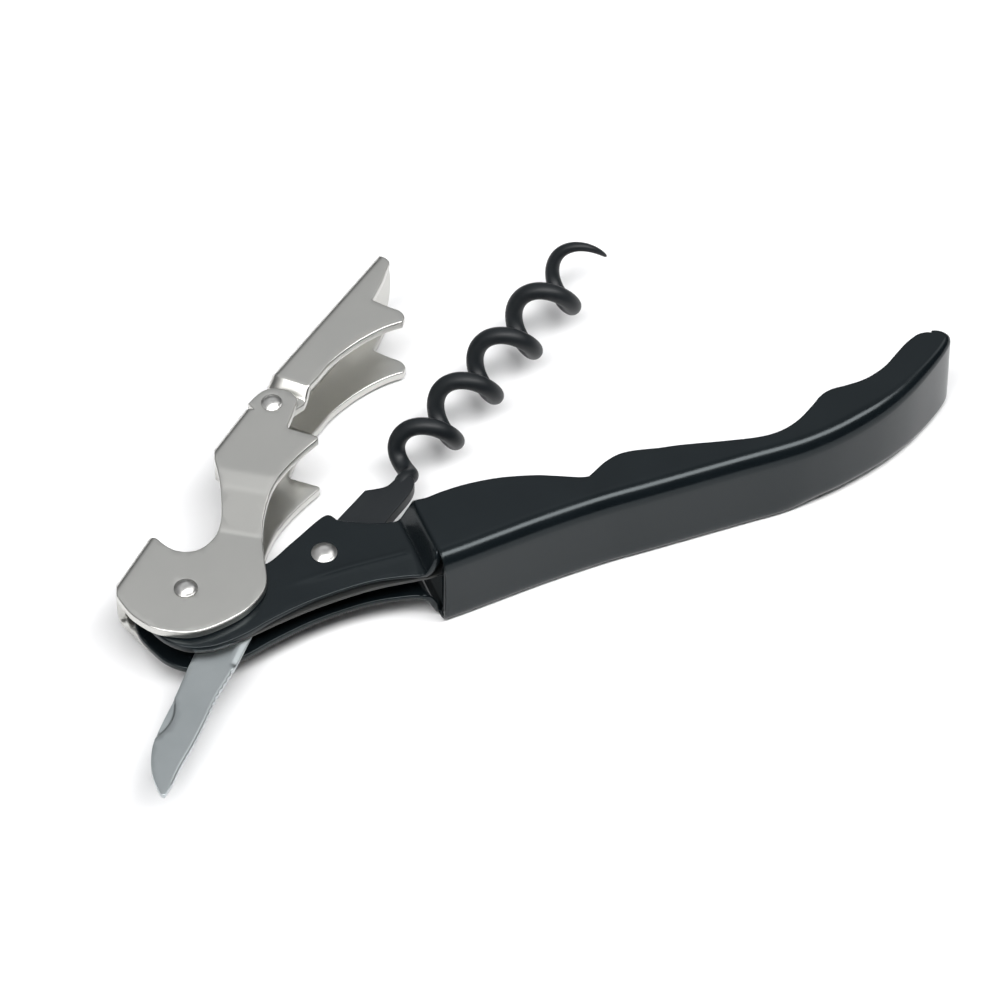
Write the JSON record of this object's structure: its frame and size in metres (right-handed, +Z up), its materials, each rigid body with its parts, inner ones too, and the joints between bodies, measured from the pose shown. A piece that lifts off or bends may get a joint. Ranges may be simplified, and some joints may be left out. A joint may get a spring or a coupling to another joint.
{
  "type": "lever corkscrew",
  "caption": "Double-hinged waiter's corkscrew: folded steel handle, two-step rim lever with cap opener, screw worm and fold-out foil knife.",
  "frame": {"origin": "centre of the overall box on the surface that the corkscrew lies on", "axes": "+X from the lever pivot to the handle's tip, +Y towards the handle's open mouth side, +Z up through the thickness, along every pivot axis"},
  "size_m": [0.1258, 0.0736, 0.013],
  "materials": {
    "black_paint": "satin black stoved paint on folded steel",
    "liner_black": "blackened spring steel, semi-matt",
    "nickel": "satin nickel plate with bright rolled edges",
    "rivet_steel": "bright domed rivet",
    "blade_steel": "ground stainless blade",
    "worm_black": "matt black non-stick coating",
    "plain_steel": "plain zinc-plated steel"
  },
  "bodies": {
    "handle": {"handle_shell": "black_paint", "spring_liner": "liner_black", "lever_rivet": "rivet_steel", "lever_spacer": "plain_steel", "worm_rivet": "rivet_steel", "worm_washer": "plain_steel", "knife_pin": "plain_steel", "knife_spacer": "plain_steel"},
    "first_lever": {"first_lever": "nickel", "hinge_rivet": "rivet_steel", "hinge_sleeve": "plain_steel"},
    "second_lever": {"second_lever": "nickel"},
    "worm": {"worm_shank": "worm_black", "worm_wire": "worm_black"},
    "knife": {"knife_blade": "blade_steel"}
  },
  "joints": [
    {"name": "lever_swing", "type": "hinge", "parent": "handle", "child": "first_lever", "pos_m": [-0.04875, -0.00765, 0.0065], "axis": [0, 0, 1], "range_deg": [-38, 55]},
    {"name": "worm_swing", "type": "hinge", "parent": "handle", "child": "worm", "pos_m": [-0.02925, -0.00765, 0.0065], "axis": [0, 0, 1], "range_deg": [-38, 55]},
    {"name": "step_swing", "type": "hinge", "parent": "first_lever", "child": "second_lever", "pos_m": [-0.02725, 0.01695, 0.0065], "axis": [0, 0, 1], "range_deg": [-2, 80]},
    {"name": "knife_swing", "type": "hinge", "parent": "handle", "child": "knife", "pos_m": [-0.04355, -0.01245, 0.0065], "axis": [0, 0, 1], "range_deg": [-30, 128]}
  ],
  "couplings": [
    {"joint": "worm_swing", "follows": "lever_swing", "ratio": 1}
  ]
}
